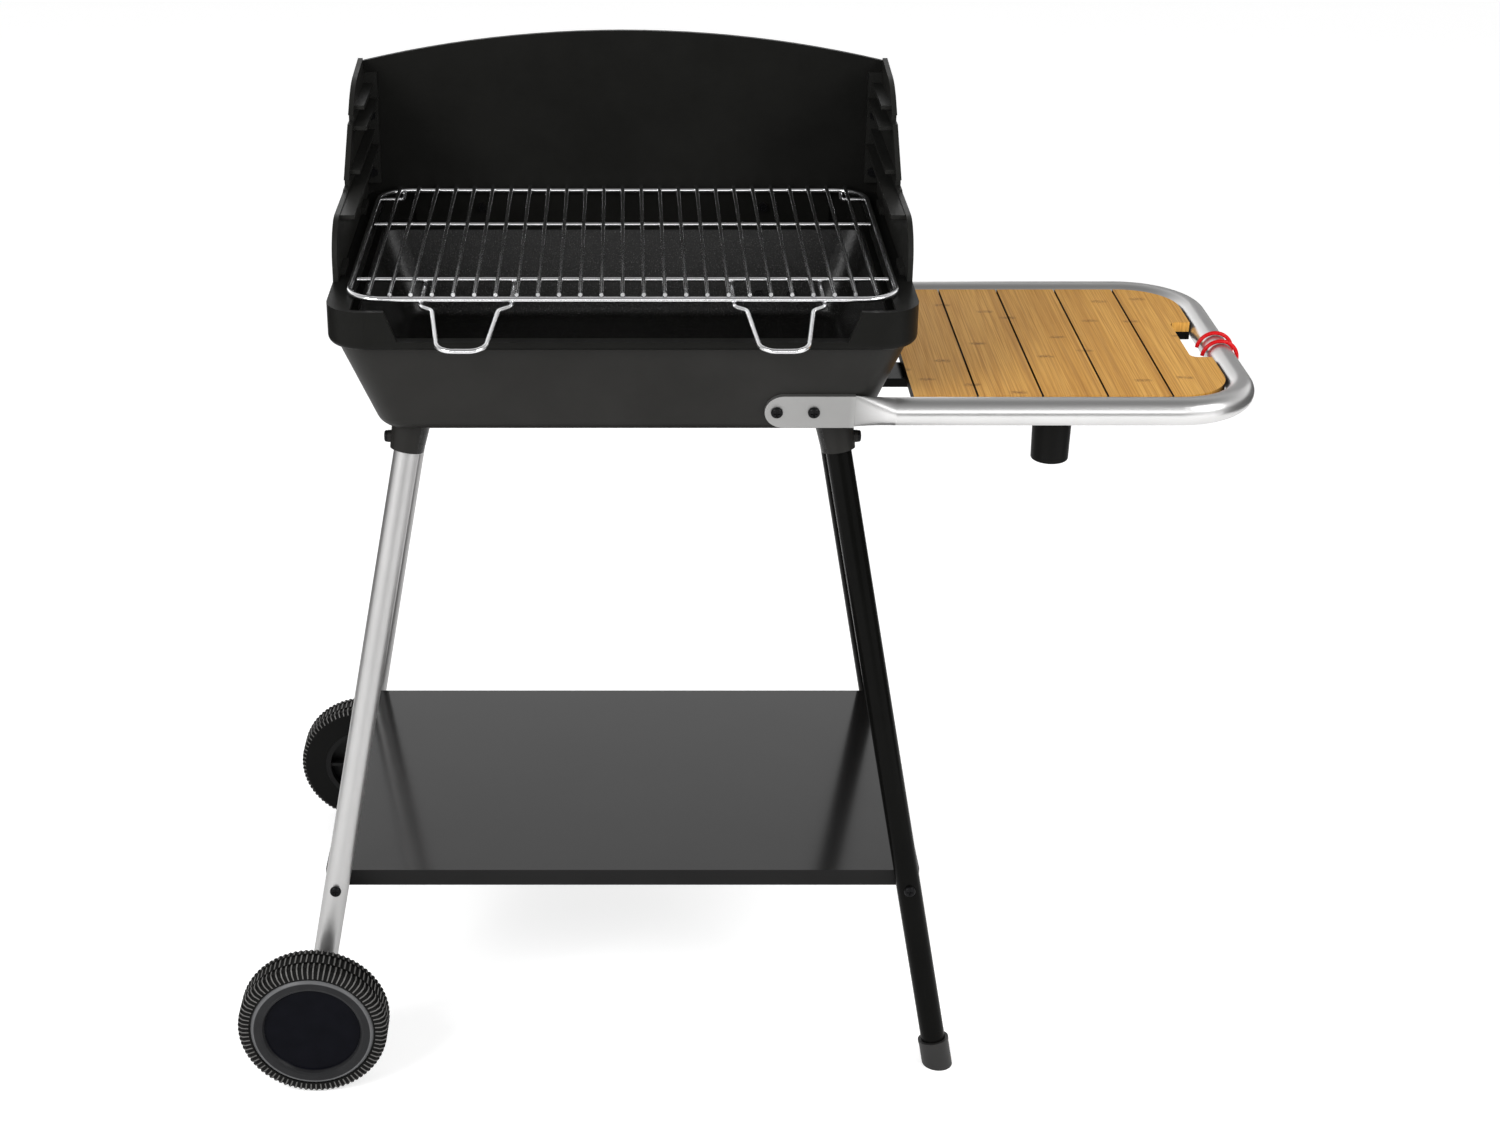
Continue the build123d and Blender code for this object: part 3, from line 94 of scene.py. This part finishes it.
class Shader:
    """A node material with short calls for the nodes used here."""

    def __init__(self, name):
        self.material = bpy.data.materials.new(name)
        self.material.use_nodes = True
        self.tree = self.material.node_tree
        self.bsdf = self.tree.nodes["Principled BSDF"]
        self.place = self.add("ShaderNodeTexCoord").outputs["Object"]

    def add(self, kind, **values):
        node = self.tree.nodes.new(kind)
        for key, value in values.items():
            setattr(node, key, value)
        return node

    def feed(self, socket, value):
        if isinstance(value, bpy.types.NodeSocket):
            self.tree.links.new(value, socket)
        else:
            socket.default_value = value

    def set(self, **values):
        for key, value in values.items():
            self.feed(self.bsdf.inputs[key.replace("_", " ")], value)

    def maths(self, operation, a, b=0.0, c=0.0):
        node = self.add("ShaderNodeMath", operation=operation)
        for socket, value in zip(node.inputs, (a, b, c)):
            self.feed(socket, value)
        return node.outputs[0]

    def vector(self, operation, a, b, result):
        node = self.add("ShaderNodeVectorMath", operation=operation)
        self.feed(node.inputs[0], a)
        self.feed(node.inputs[1], b)
        return node.outputs[result]

    def split(self, vector):
        node = self.add("ShaderNodeSeparateXYZ")
        self.feed(node.inputs[0], vector)
        return node.outputs

    def facing(self, kind):
        return self.add("ShaderNodeNewGeometry").outputs[kind]

    def stretch(self, scale):
        node = self.add("ShaderNodeMapping")
        self.feed(node.inputs["Vector"], self.place)
        node.inputs["Scale"].default_value = scale
        return node.outputs[0]

    def noise(self, scale, detail=3.0, at=None, rough=0.55):
        node = self.add("ShaderNodeTexNoise")
        self.feed(node.inputs["Vector"], at or self.place)
        node.inputs["Scale"].default_value = scale
        node.inputs["Detail"].default_value = detail
        node.inputs["Roughness"].default_value = rough
        return node.outputs["Fac"]

    def cloud(self, scale=CLOUD_SCALE):
        return self.span(self.noise(scale), 0.3, 0.7)

    def span(self, value, low, high, to_low=0.0, to_high=1.0):
        node = self.add("ShaderNodeMapRange")
        for key, number in (("Value", value), ("From Min", low), ("From Max", high),
                            ("To Min", to_low), ("To Max", to_high)):
            self.feed(node.inputs[key], number)
        return node.outputs[0]

    def between(self, share, a, b):
        return self.span(share, 0.0, 1.0, a, b)

    def mix(self, share, a, b):
        node = self.add("ShaderNodeMix", data_type="RGBA")
        self.feed(node.inputs[0], share)
        for socket, value in ((node.inputs[6], a), (node.inputs[7], b)):
            self.feed(socket, value if isinstance(value, bpy.types.NodeSocket) else (*value, 1.0))
        return node.outputs[2]

    def bump(self, height, depth, strength=1.0):
        node = self.add("ShaderNodeBump")
        self.feed(node.inputs["Height"], height)
        node.inputs["Distance"].default_value = depth
        self.feed(node.inputs["Strength"], strength)
        self.set(Normal=node.outputs[0])


def tint(color, share):
    return tuple(min(1.0, c * share) for c in color)


def plain(name, color, rough, metal=0.0, spec=0.5, vary=0.15, grain=0.0, grain_scale=FINE_GRAIN):
    """A paint, plating or plastic with soft cloudiness and, where asked, a fine grain."""
    s = Shader(name)
    s.set(Base_Color=s.mix(s.cloud(), tint(color, 1 - vary), tint(color, 1 + vary)))
    s.set(Roughness=s.span(s.noise(45.0), 0.25, 0.75, rough * 0.88, rough * 1.12))
    s.set(Metallic=metal, Specular_IOR_Level=spec)
    if grain:
        s.bump(s.noise(grain_scale, 2.0), grain)
    return s.material


def bamboo():
    """Pressed bamboo strips along Y with their own tones, fibres and node marks, and slat sides painted
    near-black as shade in the gaps.
    """
    pale = (0.76, 0.412, 0.092)
    deep = (0.66, 0.338, 0.066)
    fibre_brown = (0.480, 0.218, 0.040)
    streak_brown = (0.36, 0.156, 0.034)
    node_brown = (0.215, 0.088, 0.022)
    gap_shade_brown = (0.020, 0.009, 0.004)
    s = Shader("bamboo")
    across, along, _ = s.split(s.place)
    strips = s.maths("DIVIDE", across, STRIP_WIDTH)
    chance = s.add("ShaderNodeTexWhiteNoise", noise_dimensions="1D")
    s.feed(chance.inputs["W"], s.maths("FLOOR", strips))
    tone = chance.outputs["Value"]
    fibre = s.noise(1.0, 4.0, s.stretch((900.0, 9.0, 60.0)), 0.6)
    streak = s.noise(1.0, 2.0, s.stretch((260.0, 3.0, 20.0)), 0.5)
    base = s.mix(s.span(fibre, 0.40, 0.70), s.mix(s.between(tone, 0.0, 1.0), pale, deep), fibre_brown)
    base = s.mix(s.span(streak, 0.50, 0.72, 0.0, 0.4), base, streak_brown)
    reach = s.maths("MULTIPLY_ADD", tone, NODE_STAGGER, along)
    wave = s.maths("MULTIPLY_ADD", s.noise(160.0, 2.0), NODE_WAVER, reach)
    cell = s.maths("SUBTRACT", s.maths("FRACT", s.maths("DIVIDE", wave, NODE_SPACING)), 0.5)
    mark = s.span(s.maths("ABSOLUTE", cell), 0.003, 0.021, 1.0, 0.0)
    inside = s.maths("ABSOLUTE", s.maths("SUBTRACT", s.maths("FRACT", strips), 0.5))
    mark = s.maths("MULTIPLY", mark, s.span(inside, 0.25, 0.47, 1.0, 0.0))
    mark = s.maths("MULTIPLY", mark, s.span(s.noise(420.0, 3.0), 0.30, 0.62))
    base = s.mix(s.maths("MULTIPLY", mark, 0.85), base, node_brown)
    # Slat sides that face across are painted near-black: painted shade in the gaps between slats.
    sideways = s.split(s.facing("True Normal"))[0]
    gap_shade = s.span(s.maths("ABSOLUTE", sideways), 0.6, 0.9)
    s.set(Base_Color=s.mix(gap_shade, base, gap_shade_brown), Specular_IOR_Level=0.10)
    s.set(Roughness=s.span(fibre, 0.3, 0.7, 0.42, 0.55))
    s.bump(fibre, 0.00012, 0.6)
    return s.material


def hubcap():
    """Satin ring round a dark, glossier dish, told apart by the distance from the axle, and a light outer
    rim that is a painted highlight.
    """
    s = Shader("hubcap")
    x, _, z = s.split(s.place)
    dx = s.maths("SUBTRACT", x, AXLE_X)
    dz = s.maths("SUBTRACT", z, AXLE_Z)
    radius = s.maths("SQRT", s.maths("ADD", s.maths("POWER", dx, 2.0), s.maths("POWER", dz, 2.0)))
    ring = s.span(radius, CAP_RING_RADIUS, CAP_RING_RADIUS + CAP_RING_BLEND)
    rim_highlight_mask = s.span(radius, CAP_RIM_RADIUS, CAP_RIM_RADIUS + CAP_RIM_BLEND)
    cloud = s.cloud(60.0)
    dark = s.mix(cloud, (0.0022, 0.0024, 0.0042), (0.0034, 0.0036, 0.0060))
    grey = s.mix(cloud, (0.0090, 0.0091, 0.0102), (0.0125, 0.0127, 0.0140))
    # The outer rim is painted light grey: a painted highlight.
    rim_highlight = s.mix(cloud, (0.100, 0.101, 0.104), (0.125, 0.126, 0.130))
    s.set(Base_Color=s.mix(rim_highlight_mask, s.mix(ring, dark, grey), rim_highlight))
    s.set(Roughness=s.between(ring, 0.22, 0.38), Specular_IOR_Level=s.between(ring, 0.05, 0.22))
    return s.material


def shelf():
    """Lacquered sheet, glossy on its flat top and duller on the folded edges."""
    s = Shader("shelf_grey")
    flat = s.span(s.split(s.facing("True Normal"))[2], 0.5, 0.98)
    s.set(Base_Color=s.mix(s.cloud(), (0.0056, 0.0054, 0.0054), (0.0076, 0.0074, 0.0074)))
    s.set(Roughness=s.between(flat, 0.30, 0.14), Specular_IOR_Level=s.between(flat, 0.16, 0.42))
    return s.material


def cast_tub():
    """Smooth grey paint outside; inside, the rougher and glossier grain of the casting, darker than the
    paint partly as painted shade, with light specks that are partly grain and partly painted glints.
    """
    s = Shader("cast_tub")
    outward = s.vector("SUBTRACT", s.place, TUB_MIDDLE, "Vector")
    facing = s.vector("DOT_PRODUCT", outward, s.facing("True Normal"), "Value")
    inside = s.span(facing, -0.004, 0.0, 1.0, 0.0)
    # Inside: dark raw iron, partly painted shade, with light specks that are partly cast grain and partly
    # painted glints.
    speck_grain_and_glints = s.span(s.noise(FINE_GRAIN, 2.0), 0.58, 0.74)
    paint = s.mix(s.cloud(), (0.0138, 0.0133, 0.0122), (0.0182, 0.0176, 0.0164))
    raw_iron_shade_and_glints = s.mix(speck_grain_and_glints, (0.0055, 0.0054, 0.0050), (0.075, 0.073, 0.069))
    s.set(Base_Color=s.mix(inside, paint, raw_iron_shade_and_glints), Roughness=s.between(inside, 0.40, 0.26))
    s.set(Specular_IOR_Level=s.between(inside, 0.15, 0.30))
    s.bump(s.noise(700.0, 3.0), 0.0003, s.between(inside, 0.25, 1.0))
    return s.material


def bent_tube():
    """Silver like the legs, with painted shade on its upper side, and rougher and painted a darker grey as
    shade where the ends are pressed flat against the tub.
    """
    s = Shader("bent_tube")
    pressed = s.span(s.split(s.place)[0], PLATE_END, PLATE_END + PLATE_BLEND, 1.0, 0.0)
    # Upward-facing sides are darkened: painted shade.
    top_shade_mask = s.span(s.split(s.facing("Normal"))[2], 0.35, 0.9)
    cloud = s.cloud()
    tube_with_top_shade = s.mix(top_shade_mask, s.mix(cloud, tint(SILVER, 0.97), tint(SILVER, 1.03)), tint(SILVER, 0.72))
    # The pressed-flat ends are painted a darker grey as painted shade; their higher roughness is real.
    plate_shade_grey = s.mix(cloud, (0.34, 0.338, 0.333), (0.37, 0.368, 0.363))
    s.set(Base_Color=s.mix(pressed, tube_with_top_shade, plate_shade_grey), Roughness=s.between(pressed, 0.30, 0.42), Metallic=0.92)
    return s.material


def leg_tube():
    """Satin silver plating of the left legs."""
    s = Shader("tube_silver")
    s.set(Base_Color=s.mix(s.cloud(), tint(SILVER, 0.70), tint(SILVER, 0.74)), Roughness=0.40, Metallic=0.92)
    return s.material


BLACK_CAST = dict(rough=0.36, grain=0.00008, grain_scale=1200.0)

looks = {
    "cast_grey": cast_tub(),
    "cast_black": plain("cast_black", (0.0086, 0.0086, 0.0079), spec=0.05, **BLACK_CAST),
    "tube_silver": leg_tube(),
    "tube_black": plain("tube_black", (0.0035, 0.0035, 0.0032), 0.20, spec=0.05),
    "shelf_grey": shelf(),
    "wire_chrome": plain("wire_chrome", (0.84, 0.84, 0.85), 0.22, metal=1.0, vary=0.04),
    "bamboo": bamboo(),
    "hook_red": plain("hook_red", (0.60, 0.004, 0.007), 0.30, spec=0.2, vary=0.06),
    "screw_black": plain("screw_black", (0.005, 0.005, 0.0055), 0.30, spec=0.12),
    "steel_plain": plain("steel_plain", (0.42, 0.42, 0.43), 0.35, metal=1.0, vary=0.06),
    # The grey tyre plastic goes only on the rib tops, lighter as a painted highlight.
    "tyre_plastic": plain("tyre_plastic", (0.115, 0.112, 0.108), 0.45, spec=0.30, grain=0.00006),
    "wheel_plastic": plain("wheel_plastic", (0.006, 0.006, 0.006), 0.40, spec=0.15),
    "black_plastic": plain("black_plastic", (0.0055, 0.0055, 0.0052), 0.38, spec=0.08, grain=0.00004),
}
cap_look = hubcap()
# The windshields take a lighter copy of the black casting: painted light for the side light they catch.
wing_lit_look = plain("wing_black_lit", (0.0150, 0.0150, 0.0139), spec=0.08, **BLACK_CAST)
foot_look = plain("foot_cap", (0.022, 0.0215, 0.021), 0.42, spec=0.28, grain=0.00004)
# A near-black copy of the tyre plastic for the rib gaps, sides and bore: painted shade.
tyre_painted_shade = plain("tyre_painted_shade", (0.005, 0.005, 0.0048), 0.50, spec=0.08, grain=0.00006)
own_looks = {
    "front_hubcap": cap_look,
    "rear_hubcap": cap_look,
    "side_handle": bent_tube(),
    "windshield_left": wing_lit_look,
    "windshield_right": wing_lit_look,
    "foot_cap_front": foot_look,
    "foot_cap_rear": foot_look,
}


def wear(obj, material):
    """Gives an object one material."""
    obj.data.materials.clear()
    obj.data.materials.append(material)


for name, obj in nodes.items():
    wear(obj, own_looks.get(name, looks[slot_of[name]]))


def new_object(name, points, faces):
    """An object made of the given points and faces, linked to the scene."""
    mesh = bpy.data.meshes.new(name)
    mesh.from_pydata(points, [], faces)
    mesh.update()
    obj = bpy.data.objects.new(name, mesh)
    bpy.context.scene.collection.objects.link(obj)
    return obj


# Tyres with fine cross ribs in three bands, which run on over the outer shoulder to the hubcap

RIBS = 84
STEPS_PER_RIB = 4
TYRE_BORE = 0.094
TREAD_INSET = 0.00005
RIB_DEPTH = 0.0013
SIDE_RIB_DEPTH = 0.0007
SIDE_RIB_END = 0.0015
SIDE_RIB_RUNOUT = 0.0008
GROOVES = (0.0125, 0.0275)
GROOVE_DEPTH = 0.0022
GROOVE_HALF_TOP = 0.0011
GROOVE_HALF_FLOOR = 0.0009
SHOULDER_DROP = 0.0060
SHOULDER_LOW_DROP = 0.0045
SHOULDER_LOW_INSET = 0.0004
SHOULDER_MID_DROP = 0.0012
SHOULDER_MID_INSET = 0.0030
SHOULDER_TOP_INSET = 0.0055
CAP_CLEARANCE = 0.0002
OUTER_BAND = len(GROOVES)


def tyre_profile(radius, width, seat, seat_at):
    """Points of the cross-section: radius, distance from the inner side, band, and depth of its gaps."""
    bore = TYRE_BORE / 2
    floor = radius - GROOVE_DEPTH
    profile = [
        (bore, 0.0, None, 0, 0),
        (radius - SHOULDER_DROP, 0.0, None, 0, 0),
        (radius - SHOULDER_LOW_DROP, SHOULDER_LOW_INSET, 0, RIB_DEPTH, 0),
        (radius - SHOULDER_MID_DROP, SHOULDER_MID_INSET, 0, RIB_DEPTH, 0),
        (radius, SHOULDER_TOP_INSET, 0, RIB_DEPTH, 0),
    ]
    for band, middle in enumerate(GROOVES):
        profile += [
            (radius, middle - GROOVE_HALF_TOP, band, RIB_DEPTH, 0),
            (floor, middle - GROOVE_HALF_FLOOR, None, 0, 0),
            (floor, middle + GROOVE_HALF_FLOOR, None, 0, 0),
            (radius, middle + GROOVE_HALF_TOP, band + 1, RIB_DEPTH, 0),
        ]
    return profile + [
        (radius, width - SHOULDER_TOP_INSET, OUTER_BAND, RIB_DEPTH, 0),
        (radius - SHOULDER_MID_DROP, width - SHOULDER_MID_INSET, OUTER_BAND, RIB_DEPTH, SIDE_RIB_DEPTH),
        (radius - SHOULDER_LOW_DROP, width - SHOULDER_LOW_INSET, OUTER_BAND, 0, SIDE_RIB_DEPTH),
        (radius - SHOULDER_DROP, width, OUTER_BAND, 0, SIDE_RIB_DEPTH),
        (seat + SIDE_RIB_END, width, OUTER_BAND, 0, SIDE_RIB_DEPTH),
        (seat + SIDE_RIB_RUNOUT, width, None, 0, 0),
        (seat, width, None, 0, 0),
        (seat, seat_at, None, 0, 0),
        (bore, seat_at, None, 0, 0),
    ]


def rib_phase(step, band):
    """The step within its rib and gap; the middle band is half a rib round from the others."""
    shift = STEPS_PER_RIB // 2 if band == 1 else 0
    return (step + shift) % STEPS_PER_RIB


def ribbed_tyre(name, node, cap, body, outward):
    """The tyre of one wheel with ribs that are staggered from band to band, the rib tops painted lighter as
    a highlight and all other faces near-black as painted shade.
    """
    low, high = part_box(node)
    radius = (high[2] - low[2]) / 2 - TREAD_INSET
    inner_y = high[1] if outward < 0 else low[1]
    cap_low, cap_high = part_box(cap)
    seat = (cap_high[2] - cap_low[2]) / 2 + CAP_CLEARANCE
    seat_at = abs((cap_high[1] if outward < 0 else cap_low[1]) - inner_y) - CAP_CLEARANCE
    profile = tyre_profile(radius, high[1] - low[1], seat, seat_at)
    steps = RIBS * STEPS_PER_RIB
    points = []
    for step in range(steps):
        angle = 2 * math.pi * step / steps
        for r, w, band, dr, dw in profile:
            if band is not None and rib_phase(step, band) >= STEPS_PER_RIB // 2:
                r -= dr
                w -= dw
            x = AXLE_X + r * math.cos(angle)
            z = AXLE_Z + r * math.sin(angle)
            points.append((x, inner_y + outward * w, z))
    count = len(profile)
    faces = []
    dark = []
    for step in range(steps):
        here = step * count
        there = (step + 1) % steps * count
        for i in range(count):
            j = (i + 1) % count
            quad = (here + i, here + j, there + j, there + i)
            faces.append(quad if outward < 0 else quad[::-1])
            # Rib tops take the grey tyre plastic as a painted highlight; all other faces take the near-black
            # copy as painted shade.
            band = profile[i][2]
            on_rib = band is not None and band == profile[j][2] and rib_phase(step, band) == 0
            dark.append(0 if on_rib else 1)
    obj = new_object(name, points, faces)
    wear(obj, looks["tyre_plastic"])
    obj.data.materials.append(tyre_painted_shade)
    obj.data.polygons.foreach_set("material_index", dark)
    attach(obj, body)
    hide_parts(node)


ribbed_tyre("front_tyre_ribbed", "front_tyre", "front_hubcap", "front_wheel", -1)
ribbed_tyre("rear_tyre_ribbed", "rear_tyre", "rear_hubcap", "rear_wheel", 1)


# Lower corners of the back wall, which close the view past the belt's rounded rear corners

TAB_WIDTH = 0.016
TAB_DROP = 0.007
TAB_INSET = 0.0004
BOX_FACES = [(0, 1, 3, 2), (4, 6, 7, 5), (0, 4, 5, 1), (2, 3, 7, 6), (0, 2, 6, 4), (1, 5, 7, 3)]


def corner_tab(name, side):
    """A small block under one end of the back wall."""
    low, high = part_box("windshield_back")
    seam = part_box("firebox_belt")[1][2]
    end = (high[0] if side > 0 else low[0]) - side * TAB_INSET
    xs = sorted((end, end - side * TAB_WIDTH))
    ys = (low[1] + TAB_INSET, high[1] - TAB_INSET)
    zs = (seam - TAB_DROP, seam + TAB_INSET)
    obj = new_object(name, [(x, y, z) for x in xs for y in ys for z in zs], BOX_FACES)
    wear(obj, looks["cast_black"])
    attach(obj, "grill")


corner_tab("windshield_corner_left", -1)
corner_tab("windshield_corner_right", 1)


# Studio lamps

AIM = (-0.1, 0.0, 0.5)
FRONT_AIM = (0.0, 0.0, 0.6)
SIDE_BOX = (1.5, 1.8)
FRONT_BOX = (2.4, 0.9)


def softbox(name, place, target, size, power):
    data = bpy.data.lights.new(name, "AREA")
    data.shape = "RECTANGLE"
    data.size = size[0]
    data.size_y = size[1]
    data.energy = power
    obj = bpy.data.objects.new(name, data)
    obj.location = place
    obj.rotation_euler = (Vector(target) - obj.location).to_track_quat("-Z", "Y").to_euler()
    bpy.context.scene.collection.objects.link(obj)


softbox("left_box", place=(-2.4, -2.4, 2.3), target=AIM, size=SIDE_BOX, power=82)
softbox("right_box", place=(2.6, -2.0, 2.3), target=AIM, size=SIDE_BOX, power=60)
softbox("front_box", place=(0.3, -3.4, 1.6), target=FRONT_AIM, size=FRONT_BOX, power=14)


# Flags and cards

def flag(name, start, end, height, material):
    """An upright cloth or card outside the frame that only the glossy surfaces mirror."""
    points = [(*start, 0), (*end, 0), (*end, height), (*start, height)]
    obj = new_object(name, points, [(0, 1, 2, 3)])
    obj.data.materials.append(material)
    obj.visible_camera = False
    obj.visible_diffuse = False
    obj.visible_shadow = False
    obj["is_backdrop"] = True


cloth = plain("cloth", (0.03, 0.03, 0.03), 0.9, spec=0.1)
card = plain("card", (0.04, 0.04, 0.04), 0.9, spec=0.1)
pale_card = plain("pale_card", (0.46, 0.46, 0.46), 0.9, spec=0.1)
flag("left_flag", start=(-1.35, -0.1), end=(-1.35, 1.7), height=0.9, material=cloth)
flag("right_flag", start=(1.55, -0.6), end=(1.55, 1.9), height=0.9, material=cloth)
flag("front_card", start=(-0.50, -2.5), end=(1.3, -2.5), height=0.85, material=card)
flag("rear_card", start=(0.62, 2.6), end=(2.6, 2.6), height=3.0, material=pale_card)


# Pale floor, white to the camera

FLOOR_REACH = 20
FLOOR_DROP = 0.0004
CAMERA_GLOW = 0.5
MIRROR_GLOW = 0.20


def floor_look():
    """Pale paper that glows for the camera, and less in the grill's reflections."""
    s = Shader("floor")
    path = s.add("ShaderNodeLightPath").outputs
    s.set(Base_Color=s.mix(s.noise(0.6), (0.86, 0.86, 0.86), (0.89, 0.89, 0.89)), Roughness=0.9)
    s.set(Specular_IOR_Level=0.1, Emission_Color=(1.0, 1.0, 1.0, 1.0))
    mirrored = s.maths("MAXIMUM", path["Is Glossy Ray"], path["Is Transmission Ray"])
    seen = s.maths("MULTIPLY", path["Is Camera Ray"], CAMERA_GLOW)
    s.set(Emission_Strength=s.maths("MULTIPLY_ADD", mirrored, MIRROR_GLOW, seen))
    return s.material


corners = [(-FLOOR_REACH, -FLOOR_REACH, 0), (FLOOR_REACH, -FLOOR_REACH, 0)]
corners += [(FLOOR_REACH, FLOOR_REACH, 0), (-FLOOR_REACH, FLOOR_REACH, 0)]
floor = new_object("floor", corners, [(0, 1, 2, 3)])
floor.location.z = -FLOOR_DROP
floor.data.materials.append(floor_look())
floor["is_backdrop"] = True


# White surroundings, dimmer overhead and brighter behind the grill

def sky_ramp(tree, value, high, to_low, to_high):
    """A level that goes from one value to another as a direction's share rises from zero."""
    node = tree.nodes.new("ShaderNodeMapRange")
    tree.links.new(value, node.inputs["Value"])
    node.inputs["From Min"].default_value = 0.0
    node.inputs["From Max"].default_value = high
    node.inputs["To Min"].default_value = to_low
    node.inputs["To Max"].default_value = to_high
    return node.outputs[0]


world = bpy.data.worlds.new("studio")
bpy.context.scene.world = world
world.use_nodes = True
tree = world.node_tree
sky = tree.nodes["Background"]
where = tree.nodes.new("ShaderNodeTexCoord")
split = tree.nodes.new("ShaderNodeSeparateXYZ")
tree.links.new(where.outputs["Generated"], split.inputs[0])
level = tree.nodes.new("ShaderNodeMath")
level.operation = "MULTIPLY"
tree.links.new(sky_ramp(tree, split.outputs[2], high=0.9, to_low=1.0, to_high=0.30), level.inputs[0])
tree.links.new(sky_ramp(tree, split.outputs[1], high=0.8, to_low=0.75, to_high=1.7), level.inputs[1])
tree.links.new(level.outputs[0], sky.inputs["Strength"])
sky.inputs["Color"].default_value = (1.0, 1.0, 1.0, 1.0)


# Camera at the photo's angle

CAMERA_PLACE = (-0.116937, -2.2891, 1.5341)
CAMERA_TILT = 65.602

camera = bpy.data.cameras.new("camera")
camera.lens = 57.345
camera.sensor_width = 36.0
camera.shift_x = 0.0849
camera.shift_y = -0.0170
camera.clip_end = 100.0
view = bpy.data.objects.new("camera", camera)
view.location = CAMERA_PLACE
view.rotation_euler = (math.radians(CAMERA_TILT), 0.0, 0.0)
bpy.context.scene.collection.objects.link(view)
bpy.context.scene.camera = view
bpy.context.scene.view_settings.view_transform = "Standard"

low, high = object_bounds()
